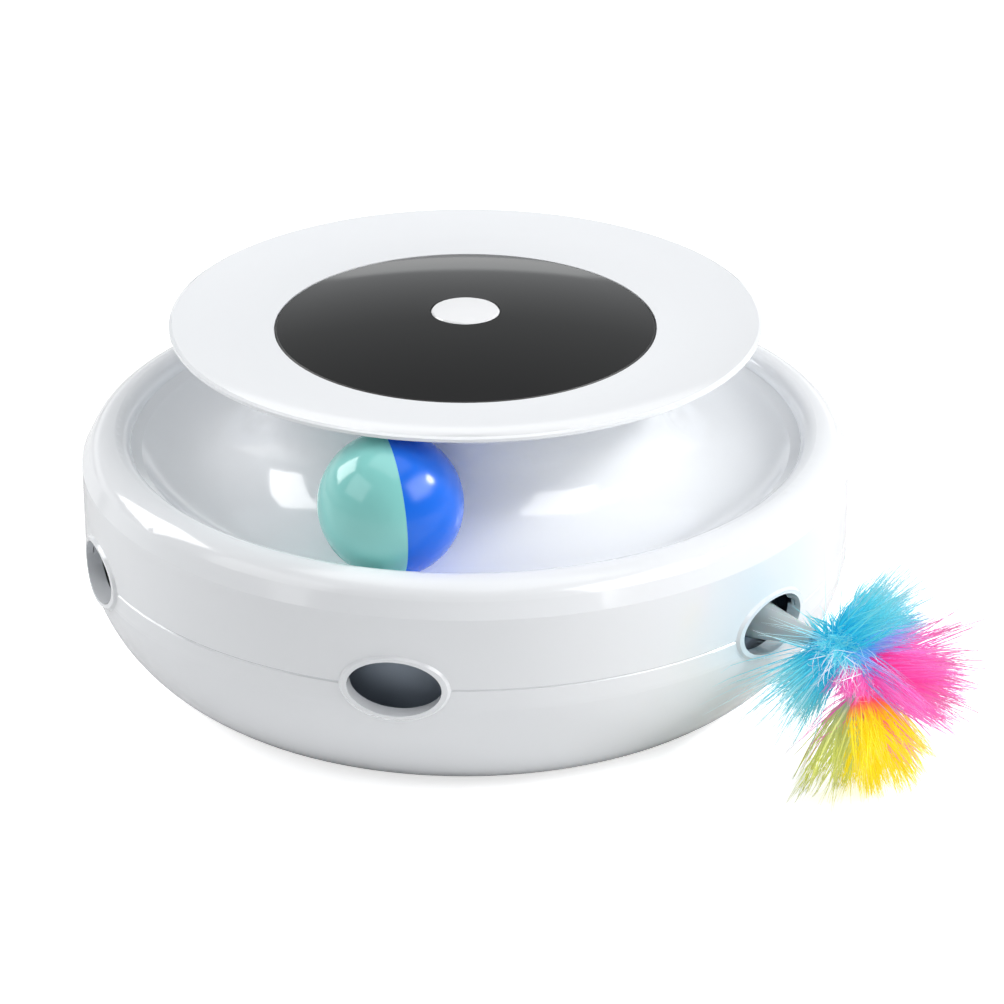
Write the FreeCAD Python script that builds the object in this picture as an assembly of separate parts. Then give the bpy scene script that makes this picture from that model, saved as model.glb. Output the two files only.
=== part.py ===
import FreeCAD, Part
import math
import os

# An electric turntable toy for cats, in millimetres.
# The turning axis of the turntable is +Z, the toy stands on z = 0, and the wand leaves along +X.

# Casing
body_radius = 125.0
foot_stand = 2.0               # how far the casing's bottom is held off the floor
base_edge_reach = 26.1         # from the body's side in to where the flat bottom turns into the flank
flank_height = 36.9            # of the curved flank, above the casing's bottom
flank_foot_round = 8.7
flank_round = 49.9
flank_top_round = 9.2
seam_height = 42.6             # of the joint between the two shells, above the casing's bottom
wall = 2.5
seam_bevel = 0.4
tongue_height = 2.0
tongue_thickness = 0.9
crest_height = 76.5            # of the rim, above the casing's bottom
crest_reach = 11.0             # from the body's side in to the rim's crest
rim_edge_drop = 10.1           # from the crest down to the soft edge below the rim
crest_round = 9.5
rim_inner_round = 5.0

# Ball track
track_reach = 25.5             # from the rim's crest in to the middle of the track
groove_play = 3.9              # between the ball's side and the side of the groove
track_depth = 12.7             # from the rim's crest down to the track's floor
groove_outer_reach = 17.0      # from the track's middle to the foot of the rim's inner wall

# Side holes
hole_count = 6
hole_half_width = 14.7
hole_half_height = 9.2
hole_inner_depth = 4.8         # from the casing's outside to the end of the hole's collar
lip_flare = 3.6
lip_land = 1.0
lip_proud = 0.9

# Shell snaps
snap_width = 10.0
snap_thickness = 1.8
snap_barb = 1.5
snap_height = 17.5
snap_foot_drop = 8.6           # of the hooks' feet below the seam
snap_wall_gap = 2.1            # between the hooks and the casing's wall
snap_foot_height = 6.0
catch_height = 3.2

# Top plate and disc
plate_reach = 6.9              # of the plate's rim beyond the middle of the track
plate_thickness = 2.0
plate_dish_depth = 3.3         # from the rim down to the disc's edge
dish_margin = 4.6              # of the flat ring round the disc, out to where the plate rises
plate_floor_drop = 12.0        # from the ball's top down to the plate's inner floor
flare_drop = 13.3              # from the ball's top down to the start of the flare under the plate
flare_fillet = 5.0
flare_round = 40.0
flare_slope = 42.0
dish_slope = 8.0
disc_inset = 0.6               # from the tower's side in to the disc's edge
disc_rise = 5.3
disc_thickness = 1.8
disc_ledge_width = 4.6
collar_thickness = 2.2
collar_height = 3.2
post_count = 3
post_radius = 3.6
post_inset = 8.2               # from the tower's side in to the posts
recess_depth = 9.1             # from the disc's ledge down to the floor that the board stands on
board_post_ring_radius = 19.0
board_radius = 24.0
board_thickness = 1.6

# Power button
button_radius = 11.0
button_height = 3.85           # from its flange's underside to its top
button_drop = 3.4              # of its flange's underside below the top of the disc
button_crown = 0.4             # rise of its domed top
button_flange_width = 1.8
button_flange_thickness = 1.1
button_stem_radius = 3.0
button_stem_length = 2.1
switch_size = 6.0
switch_height = 3.5
dome_height = 1.3
dome_radius = 2.6

# Ball
ball_radius = 22.6
ball_wall = 1.6
ball_lap = 1.4
ball_azimuth = -65.0
ball_axis_azimuth = 54.2       # the way the darker half faces
ball_axis_elevation = 2.6
ball_slot_width = 2.6
ball_slot_length = 7.0
ball_slot_polar = 37.0         # from the paler half's pole to the slot
bell_radius = 7.0
bell_wall = 1.0
bell_slot_width = 1.6

# Turntable
drum_gap = 13.0                # from the body's side in to the turntable's
drum_wall = 1.6
drum_floor_drop = 14.6         # from the seam down to the underside of the turntable
drum_floor_thickness = 2.2
drum_head_gap = 2.1            # between the turntable's wall and the track above it
drum_skirt_height = 3.0
nozzle_wall = 2.8
nozzle_bore_radius = 8.2
nozzle_depth = 8.0
nozzle_proud = 2.4
drum_slot_width = 1.8
drum_slot_height = 17.0
drum_slot_pitch = 3.9

# Turntable pivot
pivot_boss_radius = 10.0
pivot_pin_radius = 5.0
pivot_pin_length = 7.7
bush_wall = 1.55
bush_flange_radius = 9.0
bush_flange_thickness = 1.0
hub_radius = 9.5
washer_radius = 8.5
washer_thickness = 1.0
pivot_head_radius = 4.0
pivot_head_height = 2.0

# Gears
pressure_angle = 25.0
gear_backlash = 0.2
tooth_addendum = 0.8           # in modules
tooth_dedendum = 1.1           # in modules
index_module = 2.0
ring_teeth = 60
index_teeth = 12
ring_gear_rim = 4.4
gear_height = 5.5
index_gear_height = 5.0
rack_module = 1.5
rack_pinion_teeth = 12
rack_half_width = 5.0
rack_pinion_half_width = 4.0
train_module = 1.0
train_gear_teeth = 36
train_pinion_teeth = 12
train_gear_width = 3.8
train_lean = 30.0              # of the motor about the drive gear, up from +X

# Wand
wand_travel = 80.0
carriage_half_width = 7.0
carriage_flange_half_width = 9.9
carriage_flange_thickness = 1.7
carriage_lift = 5.1            # of its underside above the turntable's floor
carriage_height = 12.7
carriage_inner_end = 2.0
carriage_tip_gap = 14.0        # from the turntable's side in to the end of the carriage
drive_gear_x = 8.0
socket_radius = 7.2
socket_plug_radius = 3.9
socket_plug_length = 12.0
socket_flange_thickness = 3.0
socket_cup_length = 13.0
socket_notch_count = 10
socket_notch_width = 1.5
socket_notch_length = 3.0
sleeve_plug_radius = 6.2
sleeve_shoulder_radius = 6.9
sleeve_tip_radius = 2.6
sleeve_wall = 0.9
sleeve_length = 27.0           # of the part that tapers
quill_radius = 1.0
quill_grip = 12.0              # how far the quill goes back into the sleeve
plume_root_gap = 11.0          # from the sleeve's tip to the point that the tufts fan out from
plume_half_length = 34.0       # half the plume along X, and so on for Y and Z
plume_half_width = 38.0
plume_half_height = 33.0
plume_drift = (8.0, -4.0, -11.0)   # from the fan's root to the plume's middle
tuft_half_angle = 20.5
tuft_cap_steps = 4             # slopes that a tuft's rounded end is made of
tuft_root = 3.5                # from the fan's root to where a tuft starts
tuft_rings = ((0.0, 1), (46.0, 5), (91.0, 8), (137.0, 5))   # angle from +X, and how many tufts
blue_heading = (-0.50, -0.35, 0.80)
pink_heading = (0.85, 0.45, -0.10)
yellow_heading = (0.35, -0.30, -0.89)

# Wand guide
rail_ledge_half_gap = 6.0
rail_wall_thickness = 1.8
rail_lip_width = 1.8
rail_lip_thickness = 1.3
rail_stop_gap = 14.0           # from the turntable's side in to the rails' closed end
rail_tip_gap = 12.0            # from the turntable's side in to the rails' open end
rail_tie_width = 3.0

# Drive bracket and motors
cheek_gap = 0.2                # between the wand guide and the bracket
cheek_thickness = 2.0
cheek_foot_width = 8.0
bridge_thickness = 2.0
bridge_length = 11.0
bracket_back_reach = 14.0      # of the drive bracket behind the drive gear's axis
bracket_right_length = 40.0
bracket_left_length = 22.0
bracket_screw_inset = 6.0
gear_shaft_radius = 1.5
motor_radius = 10.0
motor_length = 26.0
motor_nose_radius = 3.0
motor_shaft_radius = 1.0
index_motor_radius = 12.0
index_clamp_gap = 1.4          # between the index motor's clamp and the ring gear
index_motor_floor_gap = 0.2
index_nose_height = 1.0
index_shaft_radius = 1.5
cradle_height = 7.0
cradle_wall = 1.6
clamp_thickness = 1.5
clamp_post_radius = 3.0
clamp_post_offset = 17.5       # each side of the index motor's axis

# Battery bay
cell_radius = 7.25
cell_length = 50.5
cell_nub_radius = 2.75
cell_nub_length = 1.2
cell_pitch = 15.2
cell_count = 3
bay_centre_x = -38.0
spring_length = 6.8
leaf_width = 6.0
leaf_height = 9.0
leaf_thickness = 0.5
contact_thickness = 0.4
bay_roof = 2.0
bay_pad_thickness = 2.2
door_travel = 12.0
door_thickness = 1.8
door_tongue_width = 1.1
door_tongue_thickness = 1.0

# Feet and fasteners
foot_inset = 3.9               # from the edge of the flat bottom in to the foot ring
foot_width = 7.0
foot_groove_depth = 1.0
foot_bevel = 0.6
screw_head_radius = 2.8
screw_head_height = 1.8
screw_radius = 1.25
screw_length = 9.0
rib_count = 12
rib_thickness = 1.4
rib_height = 11.0

# Clearances
running_gap = 0.05             # of a shaft in its bore, on the radius
slip_gap = 0.1                 # of a plug in its socket, and of a slider on its guide
loose_gap = 0.3                # between parts that must never rub

# Radii, heights and places that follow
base_edge_radius = body_radius - base_edge_reach
crest_radius = body_radius - crest_reach
track_radius = crest_radius - track_reach
groove_radius = ball_radius + groove_play
tower_radius = track_radius - groove_radius
plate_radius = track_radius + plate_reach
disc_radius = tower_radius - disc_inset
dish_start_radius = disc_radius + dish_margin
recess_radius = disc_radius - disc_ledge_width
post_ring_radius = tower_radius - post_inset
drum_radius = body_radius - drum_gap
foot_outer_radius = base_edge_radius - foot_inset
foot_inner_radius = foot_outer_radius - foot_width
bottom_z = foot_stand
inner_floor_z = bottom_z + wall
seam_z = bottom_z + seam_height
crest_z = bottom_z + crest_height
rim_edge_z = crest_z - rim_edge_drop
track_floor_z = crest_z - track_depth
tower_z = track_floor_z + groove_radius
plate_floor_z = track_floor_z + 2 * ball_radius - plate_floor_drop
recess_floor_z = plate_floor_z + plate_thickness
ledge_z = recess_floor_z + recess_depth
disc_edge_z = ledge_z + disc_thickness
rim_z = disc_edge_z + plate_dish_depth
disc_top_z = disc_edge_z + disc_rise
flange_z = disc_top_z - button_drop
stem_end_z = flange_z - button_stem_length
dome_top_z = stem_end_z - loose_gap
switch_top_z = dome_top_z - dome_height
board_top_z = switch_top_z - switch_height
board_z = board_top_z - board_thickness
drum_floor_z = seam_z - drum_floor_drop
drum_top_z = drum_floor_z + drum_floor_thickness
drum_wall_top_z = track_floor_z - wall - drum_head_gap
carriage_outer_end = drum_radius - carriage_tip_gap
carriage_z = drum_top_z + carriage_lift
carriage_top_z = carriage_z + carriage_height
rack_pitch_z = carriage_top_z + tooth_dedendum * rack_module
rack_tooth_count = int((carriage_outer_end - drive_gear_x) / (math.pi * rack_module))
drive_gear_z = rack_pitch_z + rack_module * rack_pinion_teeth / 2
train_distance = train_module * (train_gear_teeth + train_pinion_teeth) / 2
bracket_back_x = drive_gear_x - bracket_back_reach
motor_x = drive_gear_x + train_distance * math.cos(math.radians(train_lean))
motor_z = drive_gear_z + train_distance * math.sin(math.radians(train_lean))
rail_inner_end = rail_stop_gap - drum_radius
rail_outer_end = drum_radius - rail_tip_gap
rail_half_width = carriage_flange_half_width + loose_gap + rail_wall_thickness
cheek_y = rail_half_width + cheek_gap
index_gear_x = index_module * (ring_teeth - index_teeth) / 2
ring_gear_z = drum_floor_z - gear_height
index_motor_z = inner_floor_z + index_motor_floor_gap
index_motor_top_z = ring_gear_z - index_clamp_gap - clamp_thickness - slip_gap
socket_end_x = carriage_outer_end + socket_flange_thickness + socket_cup_length
sleeve_end_x = socket_end_x + sleeve_length
root_x = sleeve_end_x + plume_root_gap
ball_z = track_floor_z + loose_gap + ball_radius
door_z = bottom_z + slip_gap * 2
door_recess_z = door_z + door_thickness + slip_gap
cell_z = door_recess_z + slip_gap + cell_radius
bay_half_width = cell_count * cell_pitch / 2 + slip_gap
bay_half_length = (cell_length + spring_length) / 2 + contact_thickness + slip_gap
bay_roof_z = cell_z + cell_radius + loose_gap

ORIGIN = FreeCAD.Vector(0, 0, 0)
X_AXIS = FreeCAD.Vector(1, 0, 0)
Y_AXIS = FreeCAD.Vector(0, 1, 0)
Z_AXIS = FreeCAD.Vector(0, 0, 1)


class Outline:
    """A closed outline in the XZ plane, drawn from point to point."""

    def __init__(self, x, z):
        self.first = FreeCAD.Vector(x, 0, z)
        self.at = self.first
        self.edges = []

    def line(self, x, z):
        end = FreeCAD.Vector(x, 0, z)
        self.edges.append(Part.LineSegment(self.at, end).toShape())
        self.at = end
        return self

    def arc(self, mid_x, mid_z, x, z):
        end = FreeCAD.Vector(x, 0, z)
        self.edges.append(Part.Arc(self.at, FreeCAD.Vector(mid_x, 0, mid_z), end).toShape())
        self.at = end
        return self

    def turn(self, centre_x, centre_z, x, z):
        """An arc of less than half a turn about a centre, from here to a point."""
        centre = FreeCAD.Vector(centre_x, 0, centre_z)
        radius = self.at.distanceToPoint(centre)
        middle = (self.at - centre) + (FreeCAD.Vector(x, 0, z) - centre)
        middle.normalize()
        return self.arc(centre_x + radius * middle.x, centre_z + radius * middle.z, x, z)

    def face(self):
        if self.at.distanceToPoint(self.first) > 0.001:
            self.line(self.first.x, self.first.z)
        return Part.Face(Part.Wire(self.edges))

    def spun(self):
        return self.face().revolve(ORIGIN, Z_AXIS, 360)

    def spun_about_x(self):
        """The outline's z is taken as the radius about the X axis."""
        return self.face().revolve(ORIGIN, X_AXIS, 360)


def turned(shape, angle, axis=Z_AXIS, centre=ORIGIN):
    copy = shape.copy()
    copy.rotate(centre, axis, angle)
    return copy


def moved(shape, x, y, z):
    copy = shape.copy()
    copy.translate(FreeCAD.Vector(x, y, z))
    return copy


def fused(shapes):
    return shapes[0].multiFuse(shapes[1:])


def rod(radius, z_low, z_high, x=0.0, y=0.0):
    return Part.makeCylinder(radius, z_high - z_low, FreeCAD.Vector(x, y, z_low))


def tube(outer, inner, z_low, z_high, x=0.0, y=0.0):
    return rod(outer, z_low, z_high, x, y).cut(rod(inner, z_low - 1, z_high + 1, x, y))


def rod_along_x(radius, x_low, x_high, z, y=0.0):
    return Part.makeCylinder(radius, x_high - x_low, FreeCAD.Vector(x_low, y, z), X_AXIS)


def rod_along_y(radius, y_low, y_high, x, z):
    return Part.makeCylinder(radius, y_high - y_low, FreeCAD.Vector(x, y_low, z), Y_AXIS)


def block(x_low, x_high, y_low, y_high, z_low, z_high):
    corner = FreeCAD.Vector(x_low, y_low, z_low)
    return Part.makeBox(x_high - x_low, y_high - y_low, z_high - z_low, corner)


def around(shape, count, start=0.0):
    """Copies of a shape, evenly spaced about the turning axis."""
    return [turned(shape, start + 360.0 * i / count) for i in range(count)]


def oval_wire(half_width, half_height, x, z):
    """An upright oval at x, facing along X."""
    centre = FreeCAD.Vector(x, 0, z)
    side = FreeCAD.Vector(x, half_width, z)
    top = FreeCAD.Vector(x, 0, z + half_height)
    return Part.Wire(Part.Ellipse(side, top, centre).toShape())


def oval_prism(half_width, half_height, x_low, x_high, z):
    face = Part.Face(oval_wire(half_width, half_height, x_low, z))
    return face.extrude(FreeCAD.Vector(x_high - x_low, 0, 0))


# Gear teeth
def involute(angle):
    return math.tan(angle) - angle


def gear_outline(teeth, module, backlash, addendum, dedendum):
    """A spur gear's face in the XY plane, with a tooth on the +X axis."""
    pitch_radius = module * teeth / 2
    base_radius = pitch_radius * math.cos(math.radians(pressure_angle))
    root_radius = pitch_radius - dedendum * module
    tip_radius = pitch_radius + addendum * module
    pitch_half = math.pi / (2 * teeth) - backlash / (2 * pitch_radius)
    flank = []
    for radius in (root_radius, max(base_radius, root_radius), pitch_radius, tip_radius):
        reach = math.acos(base_radius / max(radius, base_radius))
        half = pitch_half + involute(math.radians(pressure_angle)) - involute(reach)
        if not flank or radius > flank[-1][0] + 0.01:
            flank.append((radius, half))
    corners = []
    for i in range(teeth):
        middle = 2 * math.pi * i / teeth
        side = [(r, middle - h) for r, h in flank] + [(r, middle + h) for r, h in reversed(flank)]
        corners += [FreeCAD.Vector(r * math.cos(a), r * math.sin(a), 0) for r, a in side]
    return Part.Face(Part.makePolygon(corners + corners[:1]))


def spur_gear(teeth, module, width):
    face = gear_outline(teeth, module, gear_backlash, tooth_addendum, tooth_dedendum)
    return face.extrude(FreeCAD.Vector(0, 0, width))


def upright(shape, y_low, x, z):
    """A gear made in the XY plane, turned so that its axis lies along Y and it starts at y_low."""
    standing = turned(shape, 90, X_AXIS)
    return moved(standing, x, y_low + shape.BoundBox.ZLength, z)


# Casing shells
def flank_arcs(inset=0.0):
    """The lower flank from the bottom up, as three arcs that run into each other: centre x and z, end x and z."""
    foot = FreeCAD.Vector(base_edge_radius, 0, bottom_z + flank_foot_round)
    top = FreeCAD.Vector(body_radius - flank_top_round, 0, bottom_z + flank_height)
    apart = foot.distanceToPoint(top)
    to_foot = flank_round - flank_foot_round
    to_top = flank_round - flank_top_round
    along = (to_foot ** 2 - to_top ** 2 + apart ** 2) / (2 * apart)
    line = (top - foot).normalize()
    across = FreeCAD.Vector(-line.z, 0, line.x)
    middle = foot + line * along + across * math.sqrt(to_foot ** 2 - along ** 2)
    low = foot + (foot - middle).normalize() * (flank_foot_round - inset)
    high = top + (top - middle).normalize() * (flank_top_round - inset)
    return [(foot.x, foot.z, low.x, low.z), (middle.x, middle.z, high.x, high.z),
            (top.x, top.z, body_radius - inset, bottom_z + flank_height)]


def add_flank(shape, inset=0.0, downward=False):
    arcs = flank_arcs(inset)
    if downward:
        starts = [(base_edge_radius, bottom_z + inset)] + [arc[2:] for arc in arcs[:-1]]
        arcs = [arc[:2] + start for arc, start in zip(arcs, starts)][::-1]
    for arc in arcs:
        shape.turn(*arc)
    return shape


def inside_of_base():
    """The space inside the lower shell."""
    shape = add_flank(Outline(0, inner_floor_z).line(base_edge_radius, inner_floor_z), wall)
    shape.line(body_radius - wall, seam_z + tongue_height).line(0, seam_z + tongue_height)
    return shape.spun()


def side_holes():
    hole = oval_prism(hole_half_width, hole_half_height, body_radius - 2 * hole_inner_depth,
                      body_radius + hole_inner_depth, seam_z)
    return around(hole, hole_count)


def hole_collars():
    """The tubes round the side holes, each with a soft flared lip outside the wall."""
    inner_x = body_radius - hole_inner_depth
    sleeve = oval_prism(hole_half_width + wall / 2, hole_half_height + wall / 2, inner_x,
                        body_radius - wall / 2, seam_z)
    foot = oval_wire(hole_half_width + lip_flare, hole_half_height + lip_flare, body_radius - wall, seam_z)
    land = oval_wire(hole_half_width + lip_land, hole_half_height + lip_land,
                     body_radius + lip_proud, seam_z)
    lip = Part.makeLoft([foot, land], True).common(rod(body_radius + lip_proud, 0, crest_z))
    return around(sleeve.fuse(lip), hole_count)


def below_seam():
    return rod(body_radius + 2 * lip_proud, 0, seam_z)


def above_seam():
    return rod(body_radius + 2 * lip_proud, seam_z, crest_z)


def snap_hooks():
    outer = body_radius - wall - snap_wall_gap
    inner = outer - snap_thickness
    foot_z = seam_z - snap_foot_drop
    top_z = foot_z + snap_height
    hook = Outline(inner, foot_z).line(body_radius - wall / 2, foot_z)
    hook.line(body_radius - wall / 2, foot_z + snap_foot_height).line(outer, foot_z + snap_foot_height)
    hook.line(outer, top_z - snap_barb * 1.6).line(outer + snap_barb, top_z - snap_barb * 1.6)
    hook.line(outer, top_z).line(inner, top_z)
    shape = hook.face().extrude(FreeCAD.Vector(0, snap_width, 0))
    return around(moved(shape, 0, -snap_width / 2, 0), hole_count, 180.0 / hole_count)


def snap_catches():
    """Blocks inside the upper shell that the barbs of the lower shell's hooks sit on."""
    barb_z = seam_z - snap_foot_drop + snap_height - snap_barb * 1.6
    top = barb_z - loose_gap
    shape = block(body_radius - wall - snap_wall_gap + loose_gap, body_radius - wall / 2,
                  -snap_width / 2 - 1, snap_width / 2 + 1, top - catch_height, top)
    return around(shape, hole_count, 180.0 / hole_count)


def base_ribs():
    """Stiffening gussets where the floor turns up into the flank."""
    rib = block(foot_inner_radius - 4, body_radius, -rib_thickness / 2, rib_thickness / 2,
                inner_floor_z - 1, inner_floor_z + rib_height)
    room = inside_of_base().fuse(rod(base_edge_radius, inner_floor_z - wall / 2, inner_floor_z + 1))
    return [r.common(room) for r in around(rib, rib_count, 180.0 / rib_count)]


def bay_cut():
    """The battery bay, open below, with the slot that the door slides in."""
    x_low = bay_centre_x - bay_half_width
    x_high = bay_centre_x + bay_half_width
    bay = block(x_low, x_high, -bay_half_length, bay_half_length, 0, bay_roof_z)
    seat = block(x_low - wall - door_travel, x_high + wall, -bay_half_length - wall,
                 bay_half_length + wall, 0, door_recess_z)
    tongue_z = door_recess_z - door_tongue_thickness - 2 * slip_gap
    slot_half = bay_half_length + wall + door_tongue_width + loose_gap
    slot = block(x_low - wall - door_travel, x_high + wall, -slot_half, slot_half,
                 tongue_z, door_recess_z)
    return bay.fuse(seat).fuse(slot)


def bay_housing():
    x_low = bay_centre_x - bay_half_width - wall
    x_high = bay_centre_x + bay_half_width + wall
    half = bay_half_length + wall
    box = block(x_low, x_high, -half, half, inner_floor_z - 1, bay_roof_z + bay_roof)
    pad = block(x_low - door_travel - wall, x_high, -half - wall, half + wall,
                inner_floor_z - 1, inner_floor_z + bay_pad_thickness)
    return box.fuse(pad)


def base_shell():
    shape = add_flank(Outline(0, bottom_z).line(base_edge_radius, bottom_z))
    shape.line(body_radius, seam_z - seam_bevel).line(body_radius - seam_bevel, seam_z)
    shape.line(body_radius - wall + tongue_thickness, seam_z)
    shape.line(body_radius - wall + tongue_thickness, seam_z + tongue_height)
    shape.line(body_radius - wall, seam_z + tongue_height).line(body_radius - wall, bottom_z + flank_height)
    add_flank(shape, wall, downward=True).line(0, inner_floor_z)
    shell = shape.spun()
    shoulder_z = drum_floor_z - drum_skirt_height - bush_flange_thickness
    boss = rod(pivot_boss_radius, inner_floor_z - 1, shoulder_z)
    pin = rod(pivot_pin_radius, shoulder_z - 1, pivot_top_z())
    cradle = tube(index_motor_radius + loose_gap + cradle_wall, index_motor_radius + loose_gap,
                  inner_floor_z - 1, inner_floor_z + cradle_height, index_gear_x)
    collars = [c.common(below_seam()) for c in hole_collars()]
    posts = [rod(clamp_post_radius, inner_floor_z - 1, clamp_z(), x, y) for x, y in clamp_post_places()]
    shell = fused([shell, boss, pin, cradle, bay_housing()] + posts + collars + snap_hooks() + base_ribs())
    groove = tube(foot_outer_radius, foot_inner_radius, bottom_z - 1, bottom_z + foot_groove_depth)
    screw_hole = rod(screw_radius, pivot_top_z() - screw_length, pivot_top_z() + 1)
    pilots = [rod(screw_radius, clamp_z() - screw_length, clamp_z() + 1, x, y)
              for x, y in clamp_post_places()]
    for cut in side_holes() + pilots + [bay_cut(), groove, screw_hole]:
        shell = shell.cut(cut)
    return shell


def shoulder_lean():
    """How far the rim's outer slope leans in, where it runs from the edge below it into the crest's rounding."""
    across = body_radius - crest_radius
    drop = crest_z - crest_round - rim_edge_z
    return math.acos(crest_round / math.hypot(across, drop)) - math.atan2(drop, across)


def shoulder_foot(inset):
    """Height at which the slope, moved in by an inset, meets the casing's upright wall."""
    lean = shoulder_lean()
    return rim_edge_z - inset * math.tan(lean / 2)


def upper_shell():
    shape = Outline(body_radius - seam_bevel, seam_z).line(body_radius, seam_z + seam_bevel)
    lean = shoulder_lean()
    crest_middle_z = crest_z - crest_round
    shape.line(body_radius, rim_edge_z)
    shape.line(crest_radius + crest_round * math.cos(lean), crest_middle_z + crest_round * math.sin(lean))
    shape.turn(crest_radius, crest_middle_z, crest_radius, crest_z)
    inner_z = crest_z - rim_inner_round
    shape.turn(crest_radius, inner_z, crest_radius - rim_inner_round, inner_z)
    foot_drop = math.sqrt(groove_radius ** 2 - groove_outer_reach ** 2)
    shape.line(track_radius + groove_outer_reach, tower_z - foot_drop)
    shape.arc(track_radius, track_floor_z, tower_radius, tower_z)
    collar_radius = tower_radius - wall - loose_gap
    inner_radius = collar_radius - collar_thickness
    shape.line(collar_radius, tower_z).line(collar_radius, tower_z + collar_height)
    shape.line(inner_radius, tower_z + collar_height).line(inner_radius, tower_z - wall)
    under = groove_radius + wall
    start_reach = math.sqrt(under ** 2 - wall ** 2)
    shape.line(track_radius - start_reach, tower_z - wall)
    under_reach = groove_outer_reach + wall / 2
    shape.arc(track_radius, track_floor_z - wall,
              track_radius + under_reach, tower_z - math.sqrt(under ** 2 - under_reach ** 2))
    shape.line(crest_radius - rim_inner_round + wall, inner_z)
    shape.line(crest_radius, crest_z - wall)
    under_round = crest_round - wall
    shape.turn(crest_radius, crest_middle_z,
               crest_radius + under_round * math.cos(lean), crest_middle_z + under_round * math.sin(lean))
    shape.line(body_radius - wall, shoulder_foot(wall))
    slot_radius = body_radius - wall + tongue_thickness + loose_gap
    slot_z = seam_z + tongue_height + loose_gap
    shape.line(body_radius - wall, slot_z).line(slot_radius, slot_z).line(slot_radius, seam_z)
    shell = shape.spun()
    collars = [c.common(above_seam()) for c in hole_collars()]
    post = rod(post_radius, tower_z - wall, plate_floor_z, post_ring_radius)
    posts = around(post, post_count, 90)
    shell = fused([shell] + collars + snap_catches() + posts)
    screw_hole = rod(screw_radius, plate_floor_z - screw_length, plate_floor_z + 1, post_ring_radius)
    tongue_slot = tube(slot_radius, body_radius - wall - snap_wall_gap, seam_z - 1, slot_z)
    for cut in side_holes() + around(screw_hole, post_count, 90) + [tongue_slot]:
        shell = shell.cut(cut)
    return shell


def pivot_top_z():
    return drum_floor_z - drum_skirt_height + hub_length() + loose_gap


def hub_length():
    return pivot_pin_length - bush_flange_thickness - loose_gap


def foot_ring():
    bevel_z = foot_bevel
    shape = Outline(foot_inner_radius + slip_gap, bevel_z)
    shape.line(foot_inner_radius + slip_gap + foot_bevel, 0).line(foot_outer_radius - slip_gap - foot_bevel, 0)
    shape.line(foot_outer_radius - slip_gap, bevel_z)
    shape.line(foot_outer_radius - slip_gap, bottom_z + foot_groove_depth)
    shape.line(foot_inner_radius + slip_gap, bottom_z + foot_groove_depth)
    return shape.spun()


# Battery bay
def battery_door():
    x_low = bay_centre_x - bay_half_width - wall + slip_gap
    x_high = bay_centre_x + bay_half_width + wall - slip_gap
    half = bay_half_length + wall - slip_gap
    top = door_z + door_thickness
    plate = block(x_low, x_high, -half, half, door_z, top)
    tongue = block(x_low, x_high, -half - door_tongue_width, half + door_tongue_width,
                   top - door_tongue_thickness, top)
    door = plate.fuse(tongue)
    grip_half = 9.0
    for i in range(4):
        x = x_low + 5.0 + 2.4 * i
        door = door.cut(block(x, x + 1.2, -grip_half, grip_half, door_z - 1, door_z + 0.5))
    return door.removeSplitter()


def cell_places():
    """Each cell's x, and which way its positive end points along Y."""
    return [(bay_centre_x + (i - (cell_count - 1) / 2) * cell_pitch, 1 if i % 2 == 0 else -1)
            for i in range(cell_count)]


def battery_cells():
    end = bay_half_length - contact_thickness - slip_gap
    shape = Outline(-end + spring_length, 0).line(-end + spring_length, cell_radius)
    barrel_end = -end + spring_length + cell_length - cell_nub_length - loose_gap
    shape.line(barrel_end, cell_radius).line(barrel_end, cell_nub_radius)
    shape.line(barrel_end + cell_nub_length, cell_nub_radius).line(barrel_end + cell_nub_length, 0)
    cell = turned(shape.spun_about_x(), 90)
    return [moved(cell if way > 0 else turned(cell, 180), x, 0, cell_z) for x, way in cell_places()]


def battery_contacts():
    plates = []
    half_width = cell_pitch / 2 - loose_gap
    for x, _ in cell_places():
        for side in (-1, 1):
            y = side * (bay_half_length - slip_gap - contact_thickness / 2)
            plates.append(block(x - half_width, x + half_width, y - contact_thickness / 2,
                                y + contact_thickness / 2, cell_z - 5.5, cell_z + 5.5))
    return plates


def battery_springs():
    """A bent leaf behind each cell's negative end, from the contact out to the cell and back on itself."""
    reach = spring_length - 2 * loose_gap
    fold = [(0, -leaf_height / 2), (reach, leaf_height / 6), (reach / 3, leaf_height / 2)]
    thick = leaf_thickness
    path = fold + [(y - thick, z + thick / 2) for y, z in fold[:0:-1]] + [(0, -leaf_height / 2 + 2 * thick)]
    base = bay_half_length - slip_gap - contact_thickness - loose_gap / 2
    corners = [FreeCAD.Vector(-leaf_width / 2, y - base, z) for y, z in path]
    leaf = Part.Face(Part.makePolygon(corners + corners[:1])).extrude(FreeCAD.Vector(leaf_width, 0, 0))
    return [moved(leaf if way > 0 else turned(leaf, 180), x, 0, cell_z) for x, way in cell_places()]


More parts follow.
